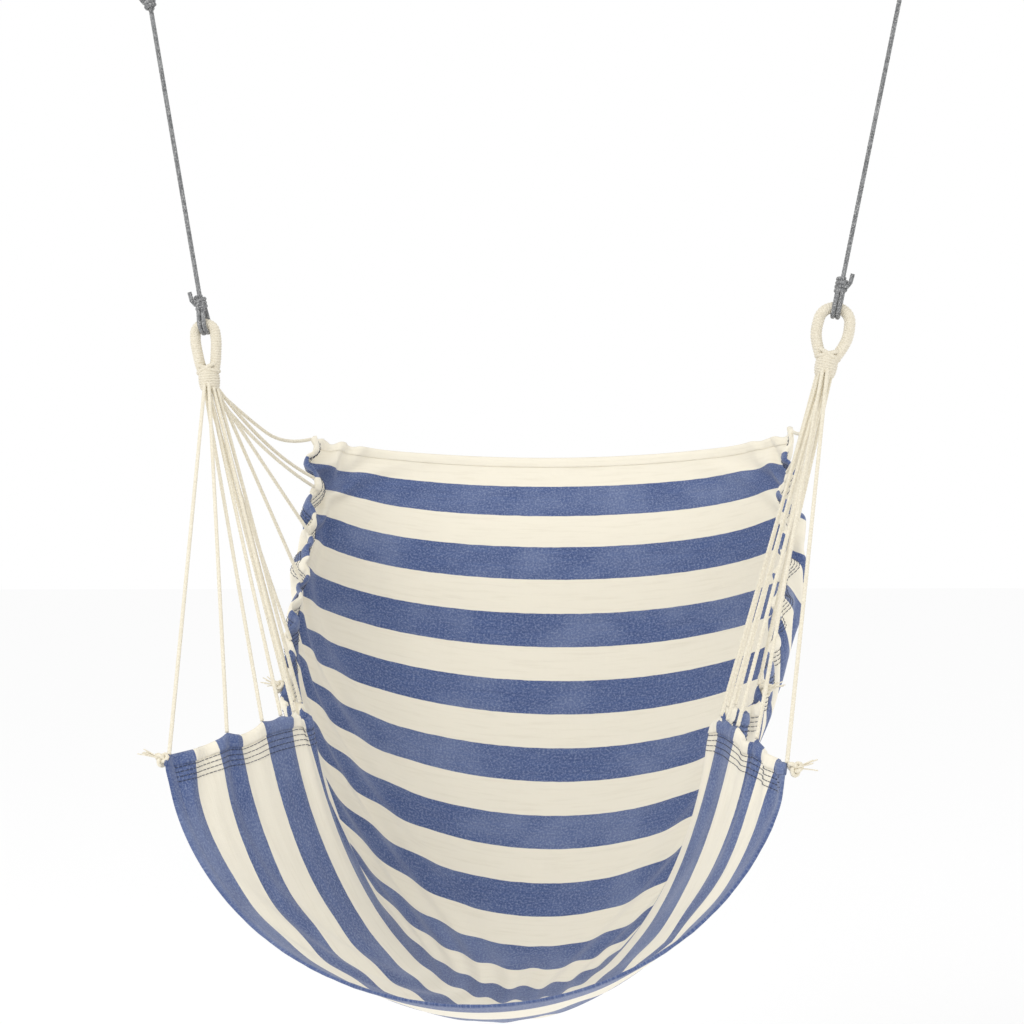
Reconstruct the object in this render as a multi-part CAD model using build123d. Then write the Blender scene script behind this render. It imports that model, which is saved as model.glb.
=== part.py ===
from build123d import *
import math
import os

# A hammock chair: one striped cloth hung by two fans of cotton strings from two served eyes, with
# a braided rope from each eye up to a screw hook. Millimetres, +Z up, the sitter faces -Y.
# The design frame has x = 0 in the middle, y = 0 in the plane of the hooks, and z = 0 at the seat's
# lowest point. Every solid is moved by ORIGIN_SHIFT when it is written, so that the origin is the
# foot of the left hook's shank.

# Hooks
HOOK_SPACING = 1030.0
HOOK_HEIGHT = 1355.0  # middle of the wire at the bottom of the bend
HOOK_WIRE = 7.0
HOOK_BEND = 14.0
HOOK_NECK = 58.0  # from the bottom of the bend to the collar
COLLAR_DIAMETER = 18.0
COLLAR_THICKNESS = 3.0
SHANK_DIAMETER = 8.0
SHANK_LENGTH = 40.0
SHANK_TIP = 6.0

# Braided hanging ropes
ROPE = 6.0
HOOK_LOOP_LENGTH = 38.0
HITCH_LENGTH = 29.0
LOOP_CLEARANCE = 0.8
HITCH_CLEARANCE = 1.6
KNOT_DIAMETER = 16.0
KNOT_LENGTH = 22.0

# Served eyes: each one's distance from the middle, width between the middles of its two sides,
# and lean in degrees. The right one is worn wider, and the seat hangs a little to the left.
EYES = {"left": (440.0, 29.0, 4.0), "right": (414.0, 41.0, 11.0)}
EYE_HEIGHT = 876.0  # middle of the tube at the top of the eye
EYE_TUBE = 15.0
EYE_CORE = 10.0
EYE_LENGTH = 64.0
WHIPPING_DIAMETER = 30.0
WHIPPING_LENGTH = 26.0

# Cloth
CLOTH_THICKNESS = 3.0
BACK_HEM = 0.014  # share of the cloth's length
FRONT_HEM = 0.986
SIDE_HEM = 0.985  # share of the half width where the side hem's roll begins
HEM_THICKNESS = 5.0
SIDE_ROLL = 14.0
DRAWCORD = 6.0
STRING = 5.0
STRING_PITCH = 5.9
STOP_KNOT = 12.0
KNOT_OUT = 9.0
KNOT_DOWN = 6.0

# The cloth's shape at nine evenly spaced places from the back's top edge to the front hem:
# half width, y and z of the gathered edge, y and z of the middle, and the half angle that the
# cross-section turns through between the middle and the edge, in radians.
SECTIONS = [
    (350, 200, 717, 385, 690, 1.50),
    (338, 170, 635, 322, 553, 1.80),
    (334, 115, 552, 280, 402, 1.95),
    (328, 33, 480, 211, 260, 1.85),
    (318, -45, 415, 118, 133, 1.70),
    (304, -107, 382, 5, 28, 1.50),
    (266, -150, 372, -150, 0, 1.35),
    (314, -273, 362, -307, 22, 1.45),
    (360, -390, 348, -470, 86, 1.50),
]

# Where each string meets the side hem, as a share of the cloth's length from the back, and the
# points between its two ends, which only the slack ones at the back have: the share of the way
# down, and how far it hangs below the straight line.
STRINGS = [
    (0.000, [(0.35, 12.0), (0.72, 16.0)]),
    (0.085, [(0.50, 16.0)]),
    (0.105, [(0.48, 14.0)]),
    (0.205, []),
    (0.310, []),
    (0.440, []),
    (0.560, []),
    (0.675, []),
    (0.700, []),
    (0.780, []),
    (0.805, []),
    (0.835, []),
    (0.895, []),
    (1.000, []),
]
NECK_COLUMNS = (2, 3, 4, 3, 2)  # strings side by side under the whipping, from back to front
KNOTTED = (6, 13)  # the strings that end in a stop knot outside the hem

ORIGIN_SHIFT = Vector(HOOK_SPACING / 2, 0, -(HOOK_HEIGHT + HOOK_NECK + COLLAR_THICKNESS))
SIDES = {"left": -1, "right": 1}


def blend(rows, share):
    """A smooth value of every column of rows at a share from 0 to 1 of the way down them."""
    place = min(max(share, 0.0), 1.0) * (len(rows) - 1)
    index = min(int(place), len(rows) - 2)
    t = place - index
    first, last = rows[index], rows[index + 1]
    before = rows[index - 1] if index else [2 * a - b for a, b in zip(first, last)]
    after = rows[index + 2] if index + 2 < len(rows) else [2 * b - a for a, b in zip(first, last)]
    return [
        b + 0.5 * t * (c - a + t * (2 * a - 5 * b + 4 * c - d + t * (3 * (b - c) + d - a)))
        for a, b, c, d in zip(before, first, last, after)
    ]


def cloth_point(along, across):
    """A point of the cloth. along runs from 0 at the back to 1 at the front, across from -1 to 1."""
    edge_x, edge_y, edge_z, middle_y, middle_z, turn = blend(SECTIONS, along)
    rise = (1 - math.cos(turn * across)) / (1 - math.cos(turn))
    x = edge_x * math.sin(turn * across) / math.sin(turn)
    return Vector(x, middle_y + (edge_y - middle_y) * rise, middle_z + (edge_z - middle_z) * rise)


def steps(low, high, count):
    return [low + (high - low) * i / (count - 1) for i in range(count)]


def sheet_normal(along, across):
    """The cloth's normal, which points down and out of the seat."""
    step = 1e-4
    lengthwise = cloth_point(min(along + step, 1), across) - cloth_point(max(along - step, 0), across)
    crosswise = cloth_point(along, across + step) - cloth_point(along, across - step)
    return lengthwise.cross(crosswise).normalized()


def cloth_panel(along, across, thickness):
    """A closed sheet between two pairs of limits, with the cloth's surface in its middle."""
    rows, columns = max(4, round(32 * (along[1] - along[0]))), 25
    places = [[(u, v) for v in steps(*across, columns)] for u in steps(*along, rows)]
    skins = []
    for offset in (-thickness / 2, thickness / 2):
        grid = [[cloth_point(u, v) + sheet_normal(u, v) * offset for u, v in line] for line in places]
        skins.append(Face.make_surface_from_array_of_points(grid, tol=0.02))
    return Solid(Shell([*skins, *rims(*skins)]))


def rims(inner, outer):
    """The four narrow faces between two sheets' edges."""
    for edge in inner.edges():
        other = outer.edges().sort_by_distance(edge @ 0.5)[0]
        yield Face.make_surface_from_curves(edge, other)


def tube(points, diameter, radii=None, label=""):
    """A round cord along straight runs, joined by tangent arcs where there is more than one run."""
    path = Line(*points) if len(points) == 2 else FilletPolyline(*points, radius=radii or arcs(points))
    start = Plane(origin=path @ 0, z_dir=path % 0)
    solid = sweep(start * Circle(diameter / 2), path=path).solid()
    expected = math.pi * diameter**2 / 4 * path.length
    if abs(solid.volume / expected - 1) > 0.02:
        print("volume differs from section times length:", label, solid.volume / expected)
    return solid


def arcs(points):
    """The largest radius that each corner's two runs leave room for."""
    radii = []
    for before, corner, after in zip(points, points[1:], points[2:]):
        turn = math.radians((corner - before).get_angle(after - corner))
        radii.append(0.45 * min((corner - before).length, (after - corner).length) / math.tan(turn / 2))
    return radii


def written(shape, name):
    export_step(shape.moved(Location(ORIGIN_SHIFT)), f"parts/{name}.step")


def hook():
    """A screw hook in the XZ plane, with the middle of its wire at the bottom of the bend at 0."""
    corner = HOOK_BEND * 0.97
    points = [
        Vector(0, 0, HOOK_NECK),
        Vector(0, 0, 2 * HOOK_BEND + 4),
        Vector(-HOOK_BEND, 0, 2 * HOOK_BEND - 4),
        Vector(-HOOK_BEND, 0, 0),
        Vector(HOOK_BEND, 0, 0),
        Vector(HOOK_BEND, 0, 1.8 * HOOK_BEND),
    ]
    wire = tube(points, HOOK_WIRE, [5, 5, corner, corner], "hook")
    collar = Pos(0, 0, HOOK_NECK) * Cylinder(
        COLLAR_DIAMETER / 2, COLLAR_THICKNESS, align=(Align.CENTER, Align.CENTER, Align.MIN)
    )
    top = HOOK_NECK + COLLAR_THICKNESS
    shank = Pos(0, 0, top) * Cylinder(
        SHANK_DIAMETER / 2, SHANK_LENGTH, align=(Align.CENTER, Align.CENTER, Align.MIN)
    )
    tip = Pos(0, 0, top + SHANK_LENGTH) * Cone(
        SHANK_DIAMETER / 2, 1, SHANK_TIP, align=(Align.CENTER, Align.CENTER, Align.MIN)
    )
    return (wire + collar + shank + tip).solid()


def rope_loop(bend, length, up):
    """A loop of rope in the YZ plane round the X axis, which runs up or down to its knot. Its two
    legs stay clear of what it goes round up to its shoulders, and close in from there."""
    towards_knot = 1 if up else -1
    corners = [(2.5, length), (bend, bend / 2), (bend, -bend)]
    points = [Vector(0, y, z * towards_knot) for y, z in corners]
    points += [Vector(0, -p.Y, p.Z) for p in reversed(points)]
    return tube(points, ROPE, [8, bend * 0.9, bend * 0.9, 8], "loop")


def knot():
    """A knot's outer shape round the Z axis, with its middle at 0."""
    body = Cylinder(KNOT_DIAMETER / 2, KNOT_LENGTH)
    return fillet(body.edges(), KNOT_DIAMETER * 0.3).solid()


def hanging_rope(name):
    """The loops, knots and straight rope of one side, in the rope's leaning frame at the hook."""
    out, drop = HOOK_SPACING / 2 - EYES[name][0], HOOK_HEIGHT - EYE_HEIGHT
    run, lean = math.hypot(out, drop), math.degrees(math.atan2(out, drop))
    loop_bend = HOOK_WIRE / 2 + LOOP_CLEARANCE + ROPE / 2
    hitch_bend = EYE_TUBE / 2 + HITCH_CLEARANCE + ROPE / 2
    pieces = {
        "hook_loop": rope_loop(loop_bend, HOOK_LOOP_LENGTH, up=False),
        "hook_knot": Pos(0, 0, -HOOK_LOOP_LENGTH) * knot(),
        "rope": tube([Vector(0, 0, -HOOK_LOOP_LENGTH), Vector(0, 0, HITCH_LENGTH - run)], ROPE),
        "hitch_knot": Pos(0, 0, HITCH_LENGTH - run) * knot(),
    }
    for part, shift in (("hitch_loop_outer", 1), ("hitch_loop_inner", -1)):
        pieces[part] = Pos(shift * ROPE * 0.52, 0, -run) * rope_loop(hitch_bend, HITCH_LENGTH, up=True)
    top = Pos(SIDES[name] * HOOK_SPACING / 2, 0, HOOK_HEIGHT) * Rot(0, SIDES[name] * lean, 0)
    return {part: top * piece for part, piece in pieces.items()}


def eye_frame(name):
    """The leaning frame of one eye, with its origin at the middle of the tube at the top."""
    out, _, lean = EYES[name]
    return Pos(SIDES[name] * out, 0, EYE_HEIGHT) * Rot(0, SIDES[name] * lean, 0)


def eye_path(width):
    """The middle of the eye's tube: up one side, round the top and down the other side."""
    half, foot = width / 2, EYE_TUBE / 2 + 0.2
    points = [
        Vector(-foot, 0, -EYE_LENGTH),
        Vector(-half - 2, 0, -half - 6),
        Vector(-half, 0, 0),
        Vector(half, 0, 0),
        Vector(half + 2, 0, -half - 6),
        Vector(foot, 0, -EYE_LENGTH),
    ]
    return points, [28, half * 0.62, half * 0.62, 28]


def served_eye(name):
    points, radii = eye_path(EYES[name][1])
    core = tube(points, EYE_CORE, radii, "eye core")
    serving = tube(points, EYE_TUBE, radii, "eye serving") - core
    cone = Pos(0, 0, -EYE_LENGTH - WHIPPING_LENGTH / 2) * Cylinder(WHIPPING_DIAMETER / 2, WHIPPING_LENGTH)
    whipping = fillet(cone.edges(), 6)
    frame = eye_frame(name)
    return {
        "eye_core": frame * core,
        "eye_serving": frame * serving.solid(),
        "neck_whipping": frame * whipping.solid(),
    }


def neck_places():
    """Where each string leaves the whipping, in the eye's frame, in the order of STRINGS. The hem
    runs inwards from the back to the lap and then outwards, and the strings keep that order."""
    places = []
    for column, count in enumerate(NECK_COLUMNS):
        inwards = 1 if column <= len(NECK_COLUMNS) // 2 else -1
        for row in range(count):
            x = ((count - 1) / 2 - row) * STRING_PITCH * inwards
            y = ((len(NECK_COLUMNS) - 1) / 2 - column) * STRING_PITCH
            places.append((x, y))
    return places


def string_route(name, number):
    share, slack = STRINGS[number]
    x, y = neck_places()[number]
    start = (eye_frame(name) * Pos(SIDES[name] * x, y, -EYE_LENGTH - WHIPPING_LENGTH + 8)).position
    end = cloth_point(share, SIDES[name])
    middle = [start + (end - start) * part - Vector(0, 0, drop) for part, drop in slack]
    return [start, *middle, end]


def stop_knot_place(name, number):
    """The middle of the knot just outside the hem, at the end of one string."""
    return string_route(name, number)[-1] + Vector(SIDES[name] * KNOT_OUT, 0, -KNOT_DOWN)


def side_hem(side):
    """The gathered edge's roll, and the drawcord inside it."""
    points = [cloth_point(share, side) for share in steps(0, 1, 17)]
    cord = tube(points, DRAWCORD, label="drawcord")
    roll = tube(points, SIDE_ROLL, label="side roll") - cord
    return roll.solid(), cord


def main():
    os.makedirs("parts", exist_ok=True)
    shapes = {}
    for name, side in SIDES.items():
        shapes[f"{name}_hook"] = Pos(side * HOOK_SPACING / 2, 0, HOOK_HEIGHT) * hook()
        for part, shape in {**hanging_rope(name), **served_eye(name)}.items():
            shapes[f"{name}_{part}"] = shape
        for number in range(len(STRINGS)):
            route = string_route(name, number)
            shapes[f"{name}_string_{number + 1:02d}"] = tube(route, STRING, label="string")
            if len(route) > 2:
                print(name, "string", number + 1, "radii", [round(r) for r in arcs(route)])
        roll, cord = side_hem(side)
        shapes[f"{name}_side_hem"] = roll
        shapes[f"{name}_drawcord"] = cord
        knots = [Pos(*stop_knot_place(name, n)) * Sphere(STOP_KNOT / 2) for n in KNOTTED]
        shapes[f"{name}_stop_knots"] = Compound(children=[k.solid() for k in knots])
    shapes["striped_cloth"] = cloth_panel((BACK_HEM, FRONT_HEM), (-SIDE_HEM, SIDE_HEM), CLOTH_THICKNESS)
    shapes["back_hem"] = cloth_panel((0, BACK_HEM), (-SIDE_HEM, SIDE_HEM), HEM_THICKNESS)
    shapes["front_hem"] = cloth_panel((FRONT_HEM, 1), (-SIDE_HEM, SIDE_HEM), HEM_THICKNESS)
    for name, shape in shapes.items():
        written(shape, name)


main()
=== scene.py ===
import math

import bpy
import numpy as np
from mathutils import Matrix, Vector


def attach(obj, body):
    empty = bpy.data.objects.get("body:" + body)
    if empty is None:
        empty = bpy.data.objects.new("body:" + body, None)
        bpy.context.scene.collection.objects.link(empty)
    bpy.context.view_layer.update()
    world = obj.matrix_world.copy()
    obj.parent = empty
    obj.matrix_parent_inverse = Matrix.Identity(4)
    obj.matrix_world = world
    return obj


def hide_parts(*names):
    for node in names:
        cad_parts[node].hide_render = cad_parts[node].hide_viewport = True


# A hammock chair. The design frame has x = 0 in the middle, y = 0 in the plane of the hooks and
# z = 0 at the lowest point of the designed seat, in metres. The row frame, which every mesh is in, has
# its origin on the left hook's shank.

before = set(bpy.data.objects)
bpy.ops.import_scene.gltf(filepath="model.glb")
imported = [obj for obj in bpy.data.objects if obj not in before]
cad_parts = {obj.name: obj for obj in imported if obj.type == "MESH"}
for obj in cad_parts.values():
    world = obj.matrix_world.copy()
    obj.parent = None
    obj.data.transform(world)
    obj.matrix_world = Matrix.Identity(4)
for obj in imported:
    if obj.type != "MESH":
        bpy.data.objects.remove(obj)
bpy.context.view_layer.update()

HOOK_HALF_SPACING = 0.515
HOOK_HEIGHT = 1.355  # middle of the hook's bend
SHANK_HEIGHT = 0.061  # where the row frame's origin is on the shank, above the middle of the bend
# where the design frame's origin is in the row frame
ORIGIN = np.array([HOOK_HALF_SPACING, 0.0, -(HOOK_HEIGHT + SHANK_HEIGHT)])
SIDES = {"left": -1, "right": 1}
THREAD_TURNS, THREAD_PITCH = 12, 0.0026
THREAD_START = 0.067  # above the hook's bend
THREAD_RADIUS, THREAD_TAPER, RIDGE_RADIUS = 0.00395, 0.0006, 0.00055

ROPE = 0.006  # diameter
ROPE_BRAID = (0.0085, 0.10)  # the braid's pitch, and its relief as a share of the rope's radius
HOOK_LOOP_LENGTH, HOOK_LOOP_BEND = 0.038, 0.0073  # from the bend's centre to the knot, the bend's radius
HITCH_LENGTH, HITCH_BEND = 0.029, 0.0121
HITCH_SHIFT = ROPE * 0.52  # each of the hitch's two loops, from the middle
LOOP_LEG = 0.0025  # each of a loop's two legs, from the middle, where they meet the knot
KNOT_LENGTH, KNOT_RADIUS, KNOT_TURNS = 0.020, 0.0056, 4
# the tail's points: outwards, along Y and up, from the knot's middle
KNOT_TAIL = ((0.0065, -0.003, -0.002), (0.0105, -0.005, 0.005), (0.0115, -0.006, 0.017))

EYE_HEIGHT, EYE_LENGTH, EYE_TUBE = 0.876, 0.064, 0.015
EYES = {"left": (0.440, 0.029, 4), "right": (0.414, 0.041, 11)}  # from the middle, width, lean in degrees
SERVING_WIND = (0.0034, 0.15)  # the winding's pitch, and its relief as a share of the tube's radius
WHIPPING_LENGTH, WHIPPING_DIAMETER = 0.026, 0.030
WHIPPING_LAP = 0.002  # how far the whipping reaches up over the eye's foot
WHIPPING_WIND = (0.0036, 0.11)
COLLAR_HEIGHT, COLLAR_TILT = -0.060, 0.42  # two crossed turns of cord over the top of the whipping
COLLAR_HALF_WIDTH, COLLAR_HALF_DEPTH, COLLAR_RADIUS = 0.0142, 0.0105, 0.0029

STRING, STRING_PITCH = 0.005, 0.0059  # diameter, and the distance between two strings in the neck
STRING_LAY = 0.013  # the length of one turn of a string's three strands
STRING_START = 0.008  # how far inside the whipping a string starts
STRING_SAG = 0.0012  # the least drop of a taut string's middle
NECK_COLUMNS = (2, 3, 4, 3, 2)  # strings in each column of the neck, from the back
# for each string, its end's share of the way along the hem from the back, and the points that a slack
# string hangs through: the share of the way down the string, and the drop below the straight line
STRINGS = [
    (0.000, [(0.35, 0.020), (0.72, 0.030)]),
    (0.085, [(0.50, 0.030)]),
    (0.105, [(0.48, 0.026)]),
    (0.205, []),
    (0.310, []),
    (0.440, []),
    (0.560, []),
    (0.675, []),
    (0.700, []),
    (0.780, []),
    (0.805, []),
    (0.835, []),
    (0.895, []),
    (1.000, []),
]
KNOTTED = (6, 13)  # the strings that end in a knot outside the hem, counted from 0
STOP_KNOT_OUT, STOP_KNOT_DOWN = 0.009, 0.006
STOP_KNOT_SCALE = 0.0026
FRAYED_YARNS, YARN_RADIUS = 7, 0.0008

CLOTH_LENGTH, CLOTH_WIDTH = 1.300, 1.000
CLOTH_THICKNESS = 0.0013
STRIPES = 24
HEM_WIDTH, SIDE_HEM_WIDTH, HEM_THICKNESS = 0.018, 0.015, 0.0009
# round the hem's flat tube: whether each line is at its outer edge, and its height above the cloth
HEM_FOLDS = ((0, 0.0006), (0, 0.0014), (1, 0.0017), (1, -0.0017), (0, -0.0014), (0, -0.0006))
STITCH_OFFSETS = (0.018, 0.024, 0.030, 0.036)  # the rows of stitches, from the side edge
STITCH_LENGTH, STITCH_PITCH, STITCH_RADIUS = 0.0048, 0.0058, 0.00042
STITCH_LIFT = 0.0008  # from the middle of the cloth to its face, and a little more
STITCH_ENDS = (0.002, 0.005)  # what a row leaves free at its start and its end
# the designed cloth from the back to the front: the side edge's x, y and z, the middle's y and z, and
# how far round the section's curve turns from its middle to its edge, in radians
SECTIONS = [
    (0.350, 0.200, 0.717, 0.385, 0.690, 1.50),
    (0.338, 0.170, 0.635, 0.322, 0.553, 1.80),
    (0.334, 0.115, 0.552, 0.280, 0.402, 1.95),
    (0.328, 0.033, 0.480, 0.211, 0.260, 1.85),
    (0.318, -0.045, 0.415, 0.118, 0.133, 1.70),
    (0.304, -0.107, 0.382, 0.005, 0.028, 1.50),
    (0.266, -0.150, 0.372, -0.150, 0.000, 1.35),
    (0.314, -0.273, 0.362, -0.307, 0.022, 1.45),
    (0.360, -0.390, 0.348, -0.470, 0.086, 1.50),
]

# the cloth's grid, coarse and then finer: rows, columns, steps, and each step's pull downwards
LEVELS = ((53, 41, 500, 8e-5), (105, 81, 300, 2e-5), (157, 121, 420, 1e-5))
EDGE_SLACK = 1.10  # the side edge's length, as a share of the designed edge's
SHAPE_HOLD = 0.004  # how strongly each step draws the cloth back towards its designed shape
SMOOTH_TO = 0.55  # the cloth hangs smooth this far out from its middle, as a share of its half width
WIDTH_SLACK = 1.008  # the cloth's width, as a share of the designed shape's
SEAT_PULL = 0.035  # how much less of it the seat has, where the cloth is drawn tight
RIPPLE, RIPPLE_SEED = 0.0010, 3  # about how far a point is moved at random, for gathers to grow from
DRIFT = 0.97  # the share of its speed that a point keeps from one step to the next
SOFTENINGS, SOFTENING = 3, 0.6

CAMERA_LENS = 69.2
CAMERA_TURN = (10.16, -2.04, -0.83)  # degrees to its left, up, and counterclockwise seen from behind
CAMERA_PLACE = (0.447, -2.585, 0.709)
FLOOR_HEIGHT, FLOOR_HALF_SIZE = -0.55, 14.0


# ---- shapes that the CAD part has too ------------------------------------------------------------


def blend_rows(rows, share):
    """A smooth value of every column of rows at a share from 0 to 1 of the way down them."""
    place = min(max(share, 0.0), 1.0) * (len(rows) - 1)
    index = min(int(place), len(rows) - 2)
    t = place - index
    first, last = np.array(rows[index]), np.array(rows[index + 1])
    before = np.array(rows[index - 1]) if index else 2 * first - last
    after = np.array(rows[index + 2]) if index + 2 < len(rows) else 2 * last - first
    curve = 2 * before - 5 * first + 4 * last - after + t * (3 * (first - last) + after - before)
    return first + 0.5 * t * (last - before + t * curve)


def cloth_point(along, across):
    """A point of the designed cloth: along from 0 at the back to 1, across from -1 to 1."""
    edge_x, edge_y, edge_z, middle_y, middle_z, turn = blend_rows(SECTIONS, along)
    rise = (1 - math.cos(turn * across)) / (1 - math.cos(turn))
    x = edge_x * math.sin(turn * across) / math.sin(turn)
    return np.array([x, middle_y + (edge_y - middle_y) * rise, middle_z + (edge_z - middle_z) * rise])


def eye_matrix(name):
    """The eye's leaning frame, with its origin in the tube at the top of the eye."""
    out, _, lean = EYES[name]
    place = Matrix.Translation((SIDES[name] * out, 0, EYE_HEIGHT))
    return place @ Matrix.Rotation(SIDES[name] * math.radians(lean), 4, "Y")


def rope_matrix(name):
    """The rope's leaning frame at its hook, and the rope's length down to the eye."""
    out, drop = HOOK_HALF_SPACING - EYES[name][0], HOOK_HEIGHT - EYE_HEIGHT
    place = Matrix.Translation((SIDES[name] * HOOK_HALF_SPACING, 0, HOOK_HEIGHT))
    return place @ Matrix.Rotation(SIDES[name] * math.atan2(out, drop), 4, "Y"), math.hypot(out, drop)


def neck_places():
    """Where each string passes through the neck, packed side by side, from the back to the front."""
    places = []
    for column, count in enumerate(NECK_COLUMNS):
        inwards = 1 if column <= len(NECK_COLUMNS) // 2 else -1
        for row in range(count):
            x = ((count - 1) / 2 - row) * STRING_PITCH * inwards
            y = ((len(NECK_COLUMNS) - 1) / 2 - column) * STRING_PITCH
            places.append((x, y))
    return places


# ---- mesh helpers --------------------------------------------------------------------------------


def new_mesh(name, points, faces, material, smooth=True):
    """A mesh object in the row frame from points in the design frame."""
    mesh = bpy.data.meshes.new(name)
    faces = [tuple(map(int, face)) for face in faces]
    mesh.from_pydata((np.asarray(points, float) + ORIGIN).tolist(), [], faces)
    mesh.polygons.foreach_set("use_smooth", [smooth] * len(mesh.polygons))
    mesh.materials.append(material)
    mesh.update()
    obj = bpy.data.objects.new(name, mesh)
    bpy.context.collection.objects.link(obj)
    return obj


def route_line(points, count=60):
    """Points along the smooth line that has these points as its control points."""
    curve = bpy.data.curves.new("route", "CURVE")
    curve.dimensions = "3D"
    spline = curve.splines.new("NURBS")
    spline.points.add(len(points) - 1)
    for point, place in zip(spline.points, points):
        point.co = (*place, 1)
    spline.order_u = 3
    spline.use_endpoint_u = True
    spline.resolution_u = count
    holder = bpy.data.objects.new("route", curve)
    bpy.context.collection.objects.link(holder)
    bpy.context.view_layer.update()
    mesh = bpy.data.meshes.new_from_object(holder)
    line = np.array([v.co[:] for v in mesh.vertices])
    bpy.data.meshes.remove(mesh)
    bpy.data.objects.remove(holder)
    bpy.data.curves.remove(curve)
    return line


def resample(line, step):
    """The same line with evenly spaced points, and the distance of each from the start."""
    line = np.asarray(line, float)
    lengths = np.concatenate([[0], np.cumsum(np.linalg.norm(np.diff(line, axis=0), axis=1))])
    where = np.linspace(0, lengths[-1], max(3, round(lengths[-1] / step) + 1))
    return np.stack([np.interp(where, lengths, line[:, k]) for k in range(3)], axis=1), where


def line_frames(line):
    """Two unit vectors across the line at every point, which don't twist round it."""
    tangents = np.gradient(line, axis=0)
    tangents /= np.linalg.norm(tangents, axis=1)[:, None]
    helper = np.eye(3)[np.argmin(np.abs(tangents[0]))]
    side = np.cross(tangents[0], helper)
    sides = []
    for tangent in tangents:
        side = side - tangent * (side @ tangent)
        side /= np.linalg.norm(side)
        sides.append(side)
    sides = np.array(sides)
    return sides, np.cross(tangents, sides)


def tube_mesh(line, radius, around, step, profile=None):
    """Points and faces of a closed tube, and its middle line: so many points around, and a ring at
    every step. profile(distance, angle) gives the tube's own radius as a share of radius."""
    line, distance = resample(line, step)
    sides, ups = line_frames(line)
    angles = np.arange(around) * 2 * math.pi / around
    shares = np.ones((len(line), around))
    if profile:
        shares = profile(distance[:, None], angles[None, :])
    ring = np.cos(angles)[None, :, None] * sides[:, None] + np.sin(angles)[None, :, None] * ups[:, None]
    points = (line[:, None] + ring * (radius * shares)[..., None]).reshape(-1, 3)
    i, j = np.meshgrid(np.arange(len(line) - 1), np.arange(around), indexing="ij")
    k = (j + 1) % around
    faces = np.stack([i * around + j, i * around + k, (i + 1) * around + k, (i + 1) * around + j], -1)
    faces = [list(f) for f in faces.reshape(-1, 4)]
    faces.append(list(range(around))[::-1])
    faces.append([(len(line) - 1) * around + n for n in range(around)])
    return points, faces, line


def joined(parts):
    """Several (points, faces) as one."""
    points, faces, start = [], [], 0
    for part_points, part_faces in parts:
        points.append(part_points)
        faces += [[start + n for n in f] for f in part_faces]
        start += len(part_points)
    return np.concatenate(points), faces


def placed(matrix, points):
    """Points of a local frame, in the design frame."""
    m = np.array(matrix)
    return np.asarray(points, float) @ m[:3, :3].T + m[:3, 3]


def plied(strands, pitch, depth):
    """The outline of a cord of so many strands laid together."""
    turn = 2 * math.pi / pitch
    return lambda s, a: 1 - depth + 1.3 * depth * np.abs(np.cos(strands / 2 * (a - turn * s)))


def braided(pitch, depth):
    """The outline of a round braid, whose strands cross in both directions."""
    turn = 2 * math.pi / pitch
    return lambda s, a: 1 + depth * np.sin(3 * a + turn * s) * np.sin(3 * a - turn * s)


def wound(pitch, depth):
    """The outline of a fine cord wound round and round."""
    return lambda s, a: 1 - depth + depth * np.sqrt(np.abs(np.sin(math.pi * s / pitch + a / 2)))


# ---- materials -----------------------------------------------------------------------------------


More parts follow.
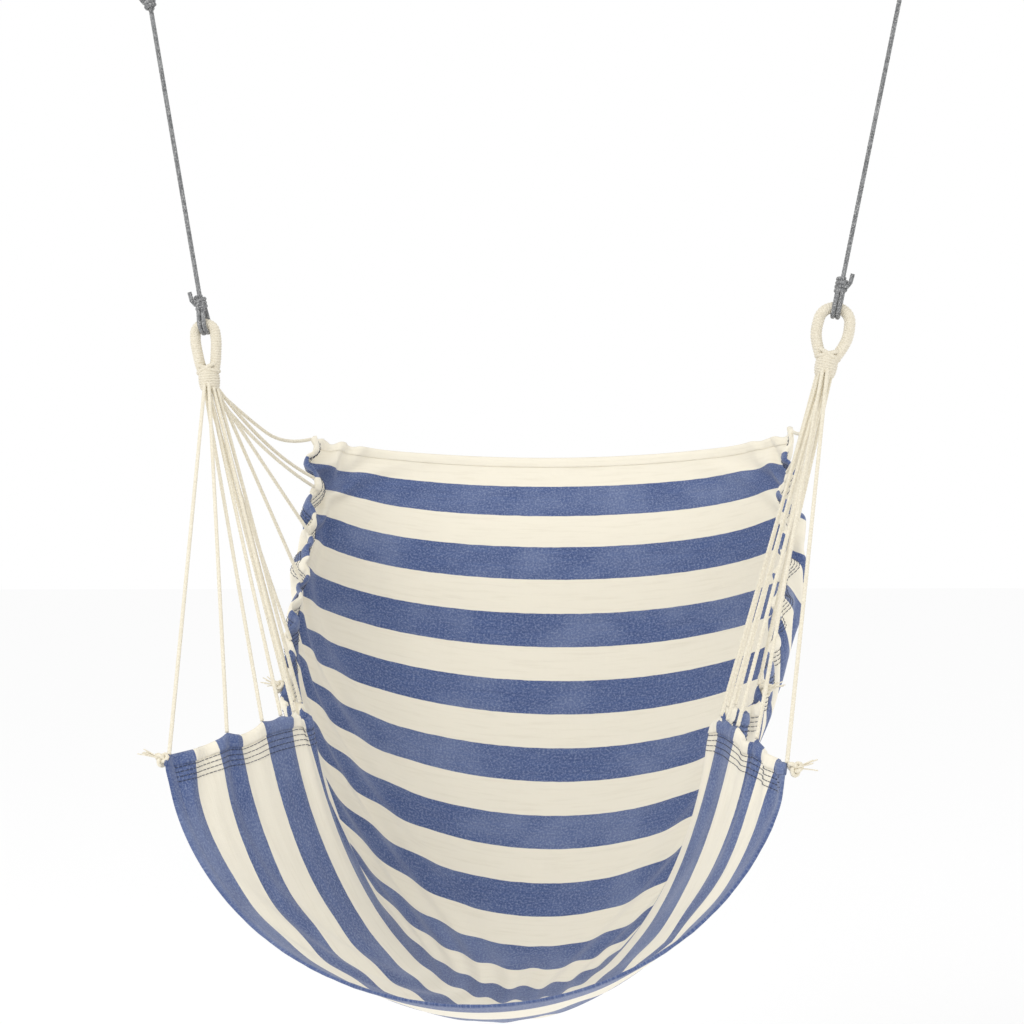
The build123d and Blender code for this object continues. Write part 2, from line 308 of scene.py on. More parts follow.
class Nodes:
    """Short calls for building one material."""

    def __init__(self, name):
        self.material = bpy.data.materials.new(name)
        self.material.use_nodes = True
        self.tree = self.material.node_tree
        self.shader = self.tree.nodes["Principled BSDF"]

    def link(self, source, target):
        self.tree.links.new(source, target)

    def add(self, kind, **values):
        node = self.tree.nodes.new(kind)
        for key, value in values.items():
            setattr(node, key, value)
        return node

    def set(self, **values):
        for key, value in values.items():
            self.shader.inputs[key.replace("_", " ")].default_value = value

    def coordinates(self, scale=(1, 1, 1), attribute=None):
        """Places on the object, or those that a mesh attribute holds, with each axis scaled."""
        if attribute:
            source = self.add("ShaderNodeAttribute", attribute_name=attribute).outputs["Vector"]
        else:
            source = self.add("ShaderNodeTexCoord").outputs["Object"]
        mapping = self.add("ShaderNodeMapping")
        mapping.inputs["Scale"].default_value = scale
        self.link(source, mapping.inputs["Vector"])
        return mapping.outputs["Vector"]

    def noise(self, vector, scale, detail=2.0, rough=0.5):
        """Noise of so many features to the metre."""
        node = self.add("ShaderNodeTexNoise")
        node.inputs["Scale"].default_value = scale
        node.inputs["Detail"].default_value = detail
        node.inputs["Roughness"].default_value = rough
        self.link(vector, node.inputs["Vector"])
        return node.outputs["Fac"]

    def math(self, operation, first, second=None, third=None):
        node = self.add("ShaderNodeMath", operation=operation)
        for socket, value in zip(node.inputs, (first, second, third)):
            if value is None:
                continue
            if isinstance(value, (int, float)):
                socket.default_value = value
            else:
                self.link(value, socket)
        return node.outputs[0]

    def ramp(self, value, low, high):
        """A smooth rise from 0 to 1 as the value goes from low to high."""
        node = self.add("ShaderNodeMapRange", interpolation_type="SMOOTHSTEP")
        node.inputs["From Min"].default_value = low
        node.inputs["From Max"].default_value = high
        self.link(value, node.inputs["Value"])
        return node.outputs["Result"]

    def mix(self, share, first, second):
        """The first colour where share is 0 and the second where it is 1."""
        node = self.add("ShaderNodeMix", data_type="RGBA")
        self.link(share, node.inputs["Factor"])
        sockets = [s for s in node.inputs if s.type == "RGBA"]
        for socket, value in zip(sockets, (first, second)):
            if isinstance(value, tuple):
                socket.default_value = (*value, 1)
            else:
                self.link(value, socket)
        return [s for s in node.outputs if s.type == "RGBA"][0]

    def colour(self, value):
        self.link(value, self.shader.inputs["Base Color"])

    def bump(self, height, strength, distance):
        node = self.add("ShaderNodeBump")
        node.inputs["Strength"].default_value = strength
        node.inputs["Distance"].default_value = distance
        self.link(height, node.inputs["Height"])
        self.link(node.outputs["Normal"], self.shader.inputs["Normal"])


CREAM = (0.88, 0.825, 0.69)
CREAM_DARK = (0.73, 0.67, 0.53)
BLUE = (0.062, 0.108, 0.275)
BLUE_LIGHT = (0.28, 0.335, 0.49)
BLUE_DARK = (0.036, 0.062, 0.175)


def woven(name, plain=None):
    """Plain-woven cotton, striped or of one plain colour. The cloth attribute holds metres across and
    along the flat cloth."""
    n = Nodes(name)
    flat = n.coordinates(attribute="cloth")
    warp = n.noise(n.coordinates((1, 0.06, 1), "cloth"), 900, 2, 0.6)
    weft = n.noise(n.coordinates((0.06, 1, 1), "cloth"), 900, 2, 0.6)
    slub = n.noise(n.coordinates((0.10, 1, 1), "cloth"), 160, 3, 0.6)
    cloud = n.noise(flat, 9, 3, 0.6)
    fleck = n.math("MULTIPLY", n.ramp(warp, 0.50, 0.74), n.ramp(weft, 0.44, 0.70))
    cream = n.mix(n.math("MULTIPLY", n.ramp(slub, 0.45, 0.8), 0.35), CREAM, CREAM_DARK)
    heather = n.noise(flat, 340, 3, 0.7)
    blue = n.mix(n.math("MULTIPLY_ADD", n.ramp(slub, 0.30, 0.75), 0.35, 0.4), BLUE_DARK, BLUE)
    blue = n.mix(n.math("MULTIPLY", n.ramp(heather, 0.42, 0.70), 0.62), blue, BLUE_LIGHT)
    blue = n.mix(n.math("MULTIPLY", fleck, 0.6), blue, BLUE_LIGHT)
    blue = n.mix(n.math("MULTIPLY", n.ramp(cloud, 0.4, 0.72), 0.32), blue, BLUE_LIGHT)
    if plain:
        colour = cream if plain == "cream" else blue
    else:
        # a pair of stripes is one turn of phase, and the last one ends just short of a whole turn
        separate = n.add("ShaderNodeSeparateXYZ")
        n.link(flat, separate.inputs[0])
        wobble = n.math("MULTIPLY_ADD", n.noise(flat, 60, 2), 0.0016, -0.0008)
        along = n.math("ADD", separate.outputs["Y"], wobble)
        phase = n.math("FRACT", n.math("MULTIPLY", along, 0.9992 * STRIPES / 2 / CLOTH_LENGTH))
        share = n.ramp(phase, 0.497, 0.503)
        closing = n.ramp(phase, 0.994, 1.0)
        colour = n.mix(n.math("SUBTRACT", share, closing), cream, blue)
    n.colour(colour)
    rough = n.add("ShaderNodeMapRange")
    rough.inputs["To Min"].default_value = 0.78
    rough.inputs["To Max"].default_value = 0.97
    n.link(slub, rough.inputs["Value"])
    n.link(rough.outputs["Result"], n.shader.inputs["Roughness"])
    ripple = n.noise(n.coordinates((1, 0.5, 1), "cloth"), 26, 3, 0.55)
    threads = n.math("ADD", warp, weft)
    n.bump(n.math("ADD", n.math("MULTIPLY", threads, 0.12), ripple), 0.5, 0.0022)
    n.set(Sheen_Weight=0.25, Sheen_Roughness=0.6, Specular_IOR_Level=0.25)
    return n.material


def cotton(name, light=CREAM, dark=CREAM_DARK, scale=420):
    """Cotton yarn, fuzzy and slightly uneven in colour."""
    n = Nodes(name)
    where = n.coordinates()
    fibre = n.noise(where, scale, 3, 0.65)
    cloud = n.noise(where, 30, 2)
    colour = n.mix(n.ramp(fibre, 0.3, 0.75), dark, light)
    colour = n.mix(n.math("MULTIPLY", n.ramp(cloud, 0.4, 0.8), 0.25), colour, dark)
    n.colour(colour)
    n.bump(fibre, 0.5, 0.0006)
    n.set(Roughness=0.93, Sheen_Weight=0.35, Sheen_Roughness=0.5, Specular_IOR_Level=0.2)
    return n.material


def grey_braid(name):
    """Synthetic braid in two greys, with pale flecks."""
    n = Nodes(name)
    where = n.coordinates()
    fleck = n.ramp(n.noise(where, 700, 1), 0.52, 0.66)
    cloud = n.noise(where, 160, 2)
    colour = n.mix(n.ramp(cloud, 0.35, 0.7), (0.105, 0.108, 0.112), (0.21, 0.215, 0.22))
    colour = n.mix(n.math("MULTIPLY", fleck, 0.8), colour, (0.55, 0.55, 0.54))
    n.colour(colour)
    n.bump(fleck, 0.4, 0.0004)
    n.set(Roughness=0.62, Sheen_Weight=0.15, Specular_IOR_Level=0.4)
    return n.material


def plated_steel(name):
    """Zinc-plated steel, unevenly dull."""
    n = Nodes(name)
    where = n.coordinates()
    cloud = n.noise(where, 120, 3, 0.6)
    n.colour(n.mix(n.ramp(cloud, 0.3, 0.7), (0.50, 0.51, 0.52), (0.66, 0.66, 0.65)))
    rough = n.add("ShaderNodeMapRange")
    rough.inputs["To Min"].default_value = 0.24
    rough.inputs["To Max"].default_value = 0.42
    n.link(cloud, rough.inputs["Value"])
    n.link(rough.outputs["Result"], n.shader.inputs["Roughness"])
    n.bump(n.noise(where, 900, 2), 0.12, 0.0003)
    n.set(Metallic=1.0)
    return n.material


STRIPED = woven("striped_cotton")
CREAM_COTTON = woven("cream_cotton", plain="cream")
BLUE_COTTON = woven("blue_cotton", plain="blue")
STRING_COTTON = cotton("string_cotton")
SERVING_COTTON = cotton("serving_cotton", (0.83, 0.775, 0.65), (0.68, 0.62, 0.49), 520)
DARK_THREAD = cotton("dark_thread", (0.060, 0.075, 0.120), (0.025, 0.032, 0.060), 900)
GREY_BRAID = grey_braid("grey_braid")
STEEL = plated_steel("plated_steel")


# ---- ropes, loops, knots and hooks ---------------------------------------------------------------


def rounded_loop(bend, length, up):
    """The loop's line: its two straight legs and the round bend between them."""
    turn = np.linspace(-0.45, math.pi + 0.45, 40)
    sign = -1 if up else 1
    bow = np.stack([0 * turn, bend * np.cos(turn), sign * bend * np.sin(turn)], 1)
    far = length if up else -length
    return np.array([(0, LOOP_LEG, far), *bow, (0, -LOOP_LEG, far)])


def barrel_knot(length, radius, turns):
    """A rope wound so many times round itself, with its middle at 0."""
    s = np.linspace(0, 1, 40 * turns)
    angle = 2 * math.pi * turns * s
    ease = radius * np.clip(np.minimum(s, 1 - s) * 14, 0.2, 1)
    z = (s - 0.5) * length
    return np.stack([ease * np.cos(angle), ease * np.sin(angle), z], 1)


def make_rope_loops(name, top, run):
    """The loop over the hook, and the hitch's two loops through the eye."""
    braid = braided(*ROPE_BRAID)
    loops = []
    for part, bend, length, up, height, shift in (
        ("hook_loop", HOOK_LOOP_BEND, HOOK_LOOP_LENGTH, False, 0, 0),
        ("hitch_loop_outer", HITCH_BEND, HITCH_LENGTH, True, -run, HITCH_SHIFT),
        ("hitch_loop_inner", HITCH_BEND, HITCH_LENGTH, True, -run, -HITCH_SHIFT),
    ):
        local = rounded_loop(bend, length, up) + [shift, 0, height]
        points, faces, _ = tube_mesh(placed(top, local), ROPE / 2, 16, 0.0011, braid)
        piece = new_mesh(f"{name}_{part}_braid", points, faces, GREY_BRAID)
        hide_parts(f"{name}_{part}")
        loops.append(piece)
    return loops


def make_rope_knots(name, top, run):
    """The knots that close the loops: turns of rope, each with a short tail on its outer side."""
    side, braid = SIDES[name], braided(*ROPE_BRAID)
    knots = []
    for part, height in (("hook_knot", -HOOK_LOOP_LENGTH), ("hitch_knot", HITCH_LENGTH - run)):
        coil = barrel_knot(KNOT_LENGTH, KNOT_RADIUS, KNOT_TURNS) + [0, 0, height]
        coil_points, coil_faces, _ = tube_mesh(placed(top, coil), ROPE / 2, 14, 0.0012, braid)
        tail = placed(top, [(side * x, y, height + z) for x, y, z in KNOT_TAIL])
        tail_points, tail_faces, _ = tube_mesh(tail, ROPE / 2 * 0.95, 14, 0.0012, braid)
        points, faces = joined([(coil_points, coil_faces), (tail_points, tail_faces)])
        piece = new_mesh(f"{name}_{part}_turns", points, faces, GREY_BRAID)
        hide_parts(f"{name}_{part}")
        knots.append(piece)
    return knots


def make_ropes(name):
    """One rope, taut from its hook to its eye, with its loops and knots."""
    top, run = rope_matrix(name)
    start, end = placed(top, [(0, 0, -HOOK_LOOP_LENGTH), (0, 0, HITCH_LENGTH - run)])
    line = route_line([start, (start + end) / 2, end])
    points, faces, line = tube_mesh(line, ROPE / 2, 16, 0.0011, braided(*ROPE_BRAID))
    rope = new_mesh(f"{name}_braided_rope", points, faces, GREY_BRAID)
    fittings = [*make_rope_loops(name, top, run), *make_rope_knots(name, top, run)]
    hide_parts(f"{name}_rope")
    for piece in (rope, *fittings):
        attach(piece, "ropes")


def make_hook_thread(name, side):
    """The screw thread on a hook's shank, fading out towards its tip."""
    s = np.linspace(0, 1, 24 * THREAD_TURNS)
    radius = THREAD_RADIUS - THREAD_TAPER * s**6
    angle = 2 * math.pi * THREAD_TURNS * s
    z = THREAD_START + THREAD_PITCH * THREAD_TURNS * s
    line = np.stack([radius * np.cos(angle), radius * np.sin(angle), z], 1)
    line += [side * HOOK_HALF_SPACING, 0, HOOK_HEIGHT]
    points, faces, _ = tube_mesh(line, RIDGE_RADIUS, around=6, step=0.0011)
    thread = new_mesh(f"{name}_hook_thread", points, faces, STEEL)
    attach(thread, "root")


# ---- eyes ----------------------------------------------------------------------------------------


def eye_line(width):
    """Control points of the eye's tube: up one side, round the top and down the other side. The arch's
    top point stands above 0, so that the smooth line's own top is at 0."""
    half, foot = width / 2, EYE_TUBE / 2 - 0.0006
    right = [(half * 0.99, 0.0), (half + 0.0004, -0.010), (half - 0.001, -0.022), (foot + 0.004, -0.042)]
    arch = [(half * math.cos(a), half * (math.sin(a) - 0.94)) for a in np.radians((20, 50, 90, 130, 160))]
    legs = [(x, z - half) for x, z in right] + [(foot, -EYE_LENGTH - 0.004)]
    points = [*reversed(legs), *arch, *[(-x, z) for x, z in legs]]
    return [(x, 0, z) for x, z in points]


def whipping_outline(s, a):
    """The wound cord's outline on a barrel that narrows towards both of its ends."""
    share = np.clip(s / (WHIPPING_LENGTH + WHIPPING_LAP), 0, 1)
    return wound(*WHIPPING_WIND)(s, a) * (0.80 + 0.20 * np.sin(math.pi * share) ** 0.6)


def collar_turn(place, tilt):
    """One slanting turn of cord over the top of the whipping."""
    turn = np.linspace(0, 2 * math.pi, 49)
    z = COLLAR_HEIGHT + COLLAR_HALF_WIDTH * tilt * np.cos(turn)
    ring = np.stack([COLLAR_HALF_WIDTH * np.cos(turn), COLLAR_HALF_DEPTH * np.sin(turn), z], 1)
    return tube_mesh(placed(place, ring), COLLAR_RADIUS, 10, 0.0012, plied(3, 0.009, 0.16))[:2]


def make_eye(name):
    """The eye's serving, and the whipping round the neck below it."""
    place = eye_matrix(name)
    line = placed(place, route_line([Vector(p) for p in eye_line(EYES[name][1])], 16))
    points, faces, _ = tube_mesh(line, EYE_TUBE / 2, 24, 0.0006, wound(*SERVING_WIND))
    serving = new_mesh(f"{name}_eye_serving_cord", points, faces, SERVING_COTTON)
    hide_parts(f"{name}_eye_serving", f"{name}_eye_core")
    heights = (WHIPPING_LAP, -WHIPPING_LENGTH / 2, -WHIPPING_LENGTH)
    neck = placed(place, [(0, 0, height - EYE_LENGTH) for height in heights])
    barrel = tube_mesh(neck, WHIPPING_DIAMETER / 2, 32, 0.0006, whipping_outline)[:2]
    collar = [collar_turn(place, tilt) for tilt in (COLLAR_TILT, -COLLAR_TILT)]
    whipping = new_mesh(f"{name}_neck_wraps", *joined([barrel, *collar]), SERVING_COTTON)
    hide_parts(f"{name}_neck_whipping")
    for piece in (serving, whipping):
        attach(piece, "chair")


# ---- strings -------------------------------------------------------------------------------------


def string_route(name, number):
    """Control points of a string, from inside the whipping down to the hem."""
    side = SIDES[name]
    share, slack = STRINGS[number]
    x, y = neck_places()[number]
    start = placed(eye_matrix(name), [(side * x, y, STRING_START - EYE_LENGTH - WHIPPING_LENGTH)])[0]
    end = cloth_point(share, side)
    sags = slack or [(0.5, STRING_SAG + 0.0005 * (number % 3))]
    middle = [start + (end - start) * part - np.array([0, 0, drop]) for part, drop in sags]
    return [start, *middle, end]


def make_string(name, number):
    """One string of three strands, with a lay that varies a little from string to string."""
    strands = plied(3, STRING_LAY + 0.0008 * (number % 4), 0.20)
    line = route_line(string_route(name, number))
    points, faces, line = tube_mesh(line, STRING / 2, 12, 0.0017, strands)
    piece = new_mesh(f"{name}_twisted_string_{number + 1:02d}", points, faces, STRING_COTTON)
    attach(piece, "chair")
    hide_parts(f"{name}_string_{number + 1:02d}")


def overhand_knot(centre):
    """The knot itself: a string along a trefoil, which is the curve of an overhand knot."""
    t = np.linspace(0, 2 * math.pi, 90)
    loop = np.stack([np.sin(t) + 2 * np.sin(2 * t), -np.sin(3 * t), np.cos(t) - 2 * np.cos(2 * t)], 1)
    return tube_mesh(loop * STOP_KNOT_SCALE + centre, STRING / 2, 12, 0.0016, plied(3, 0.012, 0.2))[:2]


def frayed_yarn(centre, side, rng):
    """One loose yarn of the string's end, outwards from the knot."""
    spread = rng.normal(0, 1, 3) * [0.004, 0.004, 0.003]
    tail = np.array([[0, 0, 0], [side * 0.008, -0.004, 0.004], [side * 0.019, -0.006, 0.007]])
    tail[1] += spread * 0.4
    tail[2] += spread
    return tube_mesh(route_line(list(tail + centre), 10), YARN_RADIUS, around=6, step=0.002)[:2]


def make_stop_knots(name, side):
    """Overhand knots with frayed ends, where two strings end outside the hem."""
    parts = []
    rng = np.random.default_rng(7 + side)
    for number in KNOTTED:
        end = cloth_point(STRINGS[number][0], side)
        centre = end + [side * STOP_KNOT_OUT, 0, -STOP_KNOT_DOWN]
        parts.append(overhand_knot(centre))
        parts += [frayed_yarn(centre, side, rng) for _ in range(FRAYED_YARNS)]
    piece = new_mesh(f"{name}_stop_knot_cords", *joined(parts), STRING_COTTON)
    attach(piece, "chair")
    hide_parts(f"{name}_stop_knots")


# ---- cloth ---------------------------------------------------------------------------------------


def designed_grid(rows, columns):
    """The designed shape as a grid, by row along the cloth and column across it."""
    across = np.linspace(-1, 1, columns)
    return np.array([[cloth_point(u, v) for v in across] for u in np.linspace(0, 1, rows)])


def finer(grid, rows, columns):
    """The same sheet on a grid of so many rows and columns."""
    u, v = np.meshgrid(np.linspace(0, 1, rows), np.linspace(-1, 1, columns), indexing="ij")
    return grid_sample(grid, u, v)


class Links:
    """Pairs of points, a fixed number of rows and columns apart, that keep their distance. They are
    in two sets, because no point may be in two pairs of a set that is moved at once."""

    def __init__(self, free, down, right, rest, stiffness, only_push=False):
        rows, columns = free.shape
        first_column = max(0, -right)
        i, j = np.meshgrid(
            np.arange(rows - down), np.arange(first_column, columns - max(0, right)), indexing="ij"
        )
        turn = (i // down) % 2 if down else (j // right) % 2
        self.only_push = only_push
        self.sets = []
        for chosen in (turn == 0, turn == 1):
            a = i[chosen] * columns + j[chosen]
            b = (i[chosen] + down) * columns + j[chosen] + right
            free_a, free_b = free.reshape(-1)[a], free.reshape(-1)[b]
            total = np.maximum(free_a + free_b, 1)
            lengths = np.broadcast_to(rest, (rows - down, columns - abs(right)))
            length = lengths[i[chosen], j[chosen] - first_column]
            weight_a = (free_a / total * stiffness)[:, None]
            weight_b = (free_b / total * stiffness)[:, None]
            self.sets.append((a, b, length, weight_a, weight_b))

    def apply(self, points):
        """Moves each pair's free points towards their distance."""
        for a, b, length, weight_a, weight_b in self.sets:
            apart = points[b] - points[a]
            distance = np.maximum(np.sqrt((apart * apart).sum(axis=1)), 1e-9)
            error = (distance - length) / distance
            if self.only_push:
                error = np.minimum(error, 0)
            apart *= error[:, None]
            points[a] += apart * weight_a
            points[b] -= apart * weight_b


def rest_lengths(design):
    """Each link's length along and across the cloth. Near the sides the cloth has its whole flat
    length, which the drawcord at the edge gathers. The middle is as long as the designed shape, so it
    hangs smooth, and the width follows the designed shape too."""
    rows, columns = design.shape[:2]
    designed = np.linalg.norm(np.diff(design, axis=0), axis=2)
    side = np.abs(np.linspace(-1, 1, columns))
    spare = np.clip((side - SMOOTH_TO) / (1 - SMOOTH_TO), 0, 1)
    along = designed + (CLOTH_LENGTH / (rows - 1) - designed) * spare * spare * (3 - 2 * spare)
    along[:, [0, -1]] = designed[:, [0, -1]] * EDGE_SLACK
    widths = np.linalg.norm(np.diff(design, axis=1), axis=2).sum(axis=1)
    seat = np.clip(np.linspace(0, 1, rows) * 4 - 2, 0, 1)  # from 0 half way along to 1 at three quarters
    widths = np.minimum(widths * (WIDTH_SLACK - SEAT_PULL * seat), CLOTH_WIDTH)
    across = np.repeat(widths[:, None] / (columns - 1), columns - 1, axis=1)
    return along, across


def settle(grid, design, steps, gravity, rng):
    """Lets the sheet hang from its strings, and returns its points at rest."""
    rows, columns = grid.shape[:2]
    points = grid.copy()
    free = np.ones((rows, columns))
    for share, _ in STRINGS:
        row = round(share * (rows - 1))
        for column, side in ((0, -1), (columns - 1, 1)):
            free[row, column] = 0
            points[row, column] = cloth_point(share, side)
    along, across = rest_lengths(design)
    inner = along[:, 1:-1].mean(axis=1)[:, None]
    slant = np.hypot(np.maximum(along[:, 1:], inner * 0.97), across[1:])
    # the threads along and across, the weave's two diagonals, and links that only push, against creases
    links = [
        Links(free, 1, 0, along, 1.0),
        Links(free, 0, 1, across, 1.0),
        Links(free, 1, 1, slant, 0.4),
        Links(free, 1, -1, slant, 0.4),
        Links(free, 2, 0, along[1:] + along[:-1], 0.08, only_push=True),
        Links(free, 0, 2, across[:, :-1] * 2, 0.08, only_push=True),
    ]
    loose = free[..., None]
    points += rng.normal(0, RIPPLE, points.shape) * loose
    before = points.copy()
    flat = points.reshape(-1, 3)
    for _ in range(steps):
        drift = (points - before) * DRIFT * loose
        before[:] = points
        points += drift
        points[..., 2] -= gravity * free
        points += SHAPE_HOLD * (design - points) * loose
        for group in links:
            group.apply(flat)
    return points


def hanging_cloth():
    """The cloth at rest, first roughly and then with its finer gathers."""
    rng = np.random.default_rng(RIPPLE_SEED)
    grid = None
    for rows, columns, steps, gravity in LEVELS:
        design = designed_grid(rows, columns)
        start = design if grid is None else finer(grid, rows, columns)
        grid = settle(start, design, steps, gravity, rng)
    return softened(grid)


def softened(grid):
    """The same sheet with its sharpest creases rounded, and its four edges as they were."""
    for _ in range(SOFTENINGS):
        inner = grid[1:-1, 1:-1]
        around = (grid[:-2, 1:-1] + grid[2:, 1:-1] + grid[1:-1, :-2] + grid[1:-1, 2:]) / 4
        grid[1:-1, 1:-1] = inner + (around - inner) * SOFTENING
    return grid


def grid_normals(grid):
    normals = np.cross(np.gradient(grid, axis=0), np.gradient(grid, axis=1))
    return normals / np.linalg.norm(normals, axis=2)[..., None]


def sheet_mesh(name, grid, flat, material, thickness):
    """A sheet from a grid of points, with each point's place on the flat cloth kept in metres."""
    rows, columns = grid.shape[:2]
    i, j = np.meshgrid(np.arange(rows - 1), np.arange(columns - 1), indexing="ij")
    corner = (i * columns + j).reshape(-1)
    faces = np.stack([corner, corner + 1, corner + columns + 1, corner + columns], 1)
    obj = new_mesh(name, grid.reshape(-1, 3), faces, material)
    attribute = obj.data.attributes.new("cloth", "FLOAT_VECTOR", "POINT")
    attribute.data.foreach_set("vector", np.asarray(flat, float).reshape(-1))
    modifier = obj.modifiers.new("Smooth", "SUBSURF")
    modifier.levels = modifier.render_levels = 1
    thick = obj.modifiers.new("Thickness", "SOLIDIFY")
    thick.thickness = thickness
    thick.offset = 0
    return obj


def grid_sample(grid, u, v):
    """Points of the cloth at shares u along and v across, from the grid."""
    rows, columns = grid.shape[:2]
    y = np.clip(np.asarray(u) * (rows - 1), 0, rows - 1.001)
    x = np.clip((np.asarray(v) + 1) / 2 * (columns - 1), 0, columns - 1.001)
    i, j = y.astype(int), x.astype(int)
    a, b = (y - i)[..., None], (x - j)[..., None]
    near = grid[i, j] * (1 - b) + grid[i, j + 1] * b
    far = grid[i + 1, j] * (1 - b) + grid[i + 1, j + 1] * b
    return near * (1 - a) + far * a


def flat_places(u, v):
    """The same points on the flat cloth, in metres across and along it."""
    u, v = np.broadcast_arrays(u, v)
    return np.stack([(v + 1) / 2 * CLOTH_WIDTH, u * CLOTH_LENGTH, 0 * u], -1)


def make_cloth(grid):
    """The striped sheet, from hem to hem."""
    rows, columns = grid.shape[:2]
    u, v = np.meshgrid(np.linspace(0, 1, rows), np.linspace(-1, 1, columns), indexing="ij")
    cloth = sheet_mesh("striped_cloth_sheet", grid, flat_places(u, v), STRIPED, CLOTH_THICKNESS)
    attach(cloth, "chair")
    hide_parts("striped_cloth")
    return cloth


def hem_sheet(name, nodes, grid, normals, paths, swell, material):
    """A flat tube of cloth round one edge of the sheet. paths has the fold's inner and outer line, as
    shares along and across, and swell is how much thicker its outer edge is at each point."""
    rows = []
    flat = []
    for outer, lift in HEM_FOLDS:
        u, v = paths[outer]
        height = lift + math.copysign(1, lift) * swell * (1 if outer else 0.4)
        rows.append(grid_sample(grid, u, v) + grid_sample(normals, u, v) * height[:, None])
        flat.append(flat_places(u, v))
    hem = sheet_mesh(name, np.array(rows), np.array(flat), material, HEM_THICKNESS)
    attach(hem, "chair")
    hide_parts(*nodes)
    return hem


def make_end_hem(name, node, grid, normals, end, material):
    """The double-folded hem at one end of the cloth."""
    across = np.linspace(-1, 1, 161)
    inner = abs(end - HEM_WIDTH / CLOTH_LENGTH)
    paths = [(np.full_like(across, u), across) for u in (inner, end)]
    swell = 0.0004 + 0.0003 * np.sin(across * 70) + 0.0003 * np.sin(across * 173)
    return hem_sheet(name, [node], grid, normals, paths, swell, material)


def make_side_hem(name, side, grid, normals):
    """The gathered hem down one side, with the drawcord's bulge at its edge."""
    along = np.linspace(0, 1, 420)
    inner = side * (1 - 2 * SIDE_HEM_WIDTH / CLOTH_WIDTH)
    paths = [(along, np.full_like(along, v)) for v in (inner, side)]
    pucker = np.sin(along * 2 * math.pi * 62) + 0.6 * np.sin(along * 2 * math.pi * 97 + 1.0)
    swell = 0.0016 + 0.0006 * pucker
    nodes = [f"{name}_side_hem", f"{name}_drawcord"]
    return hem_sheet(f"{name}_gathered_hem", nodes, grid, normals, paths, swell, STRIPED)


def stitch(a, b, normal, radius):
    """One stitch: a short thread that dips into the cloth at both ends."""
    dip, rise = normal * 0.0004, normal * 0.0007
    line = np.array([a - dip, a + (b - a) * 0.2 + rise, a + (b - a) * 0.8 + rise, b - dip])
    return tube_mesh(line, radius, 5, np.linalg.norm(b - a) / 3.01)[:2]


def stitch_rows(name, grid, normals, rows):
    """Rows of running stitches at shares (u, v) along each row, on both faces of the cloth."""
    parts = []
    for u, v in rows:
        line = grid_sample(grid, u, v)
        normal = grid_sample(normals, u, v)
        distance = np.concatenate([[0], np.cumsum(np.linalg.norm(np.diff(line, axis=0), axis=1))])
        for begin in np.arange(STITCH_ENDS[0], distance[-1] - STITCH_ENDS[1], STITCH_PITCH):
            ends = np.array([begin, begin + STITCH_LENGTH])
            a, b = np.stack([np.interp(ends, distance, line[:, k]) for k in range(3)], 1)
            up = np.array([np.interp(begin, distance, normal[:, k]) for k in range(3)])
            for face in (1, -1):
                shift = up * face * STITCH_LIFT
                parts.append(stitch(a + shift, b + shift, up * face, STITCH_RADIUS))
    piece = new_mesh(name, *joined(parts), DARK_THREAD)
    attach(piece, "chair")
    return piece


def side_stitch_rows(side):
    """Where the rows of stitches run, beside the gathered hem."""
    u = np.linspace(0.004, 0.996, 400)
    return [(u, np.full_like(u, side * (1 - 2 * offset / CLOTH_WIDTH))) for offset in STITCH_OFFSETS]


# ---- camera, light and floor ---------------------------------------------------------------------


def make_camera():
    """The camera looks along +Y before its turn."""
    data = bpy.data.cameras.new("camera")
    data.sensor_width = 36
    data.lens = CAMERA_LENS
    camera = bpy.data.objects.new("camera", data)
    bpy.context.collection.objects.link(camera)
    yaw, pitch, roll = (math.radians(a) for a in CAMERA_TURN)
    turn = Matrix.Rotation(yaw, 4, "Z") @ Matrix.Rotation(math.pi / 2 + pitch, 4, "X")
    turn = turn @ Matrix.Rotation(roll, 4, "Z")
    place = Vector(np.array(CAMERA_PLACE) + ORIGIN)
    camera.matrix_world = Matrix.Translation(place) @ turn
    bpy.context.scene.camera = camera


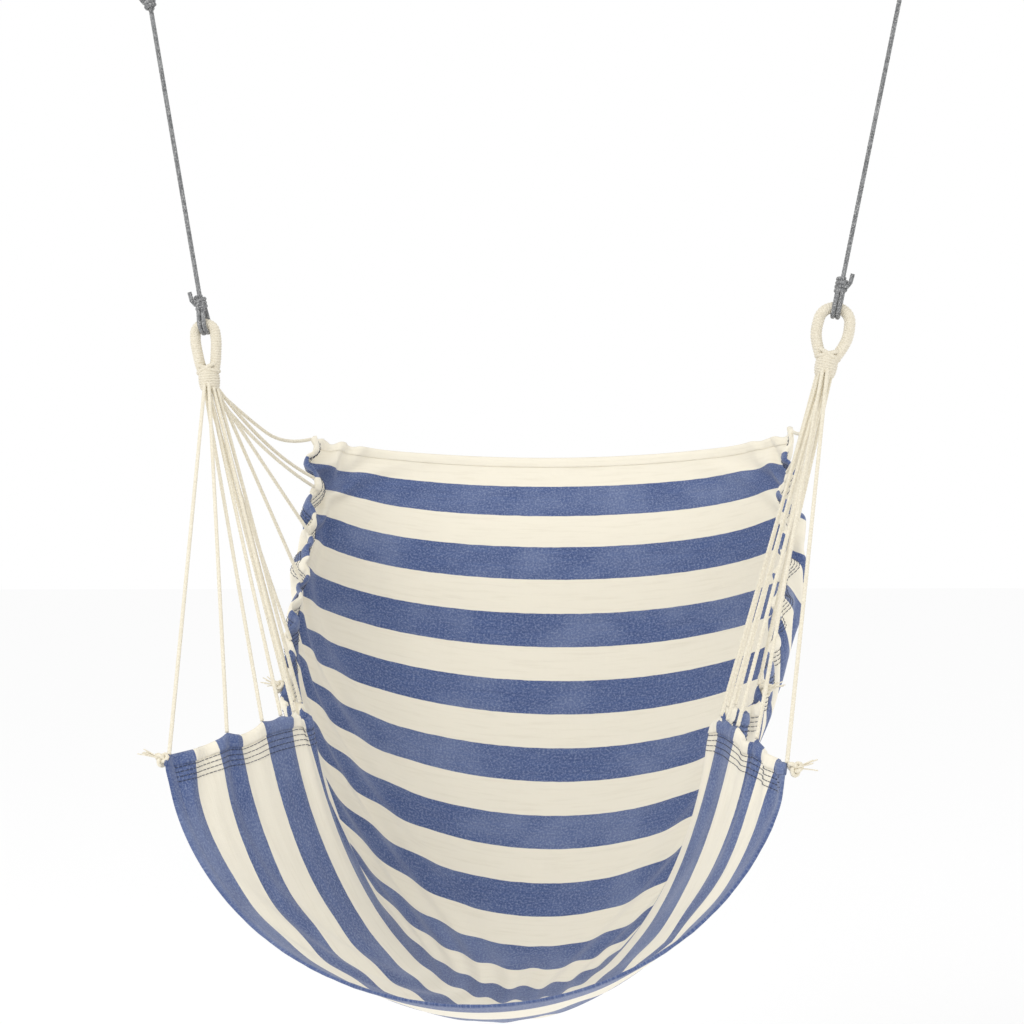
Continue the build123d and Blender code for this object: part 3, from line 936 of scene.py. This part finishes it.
def area_light(name, place, target, size, power):
    """A round lamp at one place, facing another."""
    data = bpy.data.lights.new(name, "AREA")
    data.shape = "DISK"
    data.size = size
    data.energy = power
    light = bpy.data.objects.new(name, data)
    bpy.context.collection.objects.link(light)
    place, target = Vector(np.array(place) + ORIGIN), Vector(np.array(target) + ORIGIN)
    light.location = place
    light.rotation_euler = (target - place).to_track_quat("-Z", "Y").to_euler()


def make_stage():
    """A pale floor, a white studio round it, and two soft lamps."""
    n = Nodes("pale_floor")
    n.set(Base_Color=(0.97, 0.97, 0.97, 1), Roughness=1.0, Specular_IOR_Level=0.0)
    signs = ((-1, -1), (1, -1), (1, 1), (-1, 1))
    points = [(x * FLOOR_HALF_SIZE, y * FLOOR_HALF_SIZE, FLOOR_HEIGHT) for x, y in signs]
    floor = new_mesh("pale_floor", points, [(0, 1, 2, 3)], n.material, smooth=False)
    world = bpy.data.worlds.new("studio")
    bpy.context.scene.world = world
    world.use_nodes = True
    background = world.node_tree.nodes["Background"]
    background.inputs["Color"].default_value = (1.0, 1.0, 1.0, 1)
    background.inputs["Strength"].default_value = 1.0
    area_light("key", (-1.6, -2.6, 2.4), target=(0, 0, 0.4), size=1.6, power=26)
    area_light("fill", (2.4, -2.0, 1.0), target=(0, 0, 0.4), size=2.0, power=6)
    bpy.context.scene.view_settings.view_transform = "Standard"


# ---- all of it -----------------------------------------------------------------------------------


def main():
    make_camera()
    make_stage()
    grid = hanging_cloth()
    normals = grid_normals(grid)
    for name, side in SIDES.items():
        make_ropes(name)
        make_hook_thread(name, side)
        make_eye(name)
        for number in range(len(STRINGS)):
            make_string(name, number)
        make_stop_knots(name, side)
        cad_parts[f"{name}_hook"].data.materials.clear()
        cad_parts[f"{name}_hook"].data.materials.append(STEEL)
    cloth = make_cloth(grid)
    hems = [
        make_end_hem("back_hem_fold", "back_hem", grid, normals, 0, CREAM_COTTON),
        make_end_hem("front_hem_fold", "front_hem", grid, normals, 1, BLUE_COTTON),
    ]
    for name, side in SIDES.items():
        hems.append(make_side_hem(name, side, grid, normals))
        stitch_rows(f"{name}_hem_stitches", grid, normals, side_stitch_rows(side))


main()
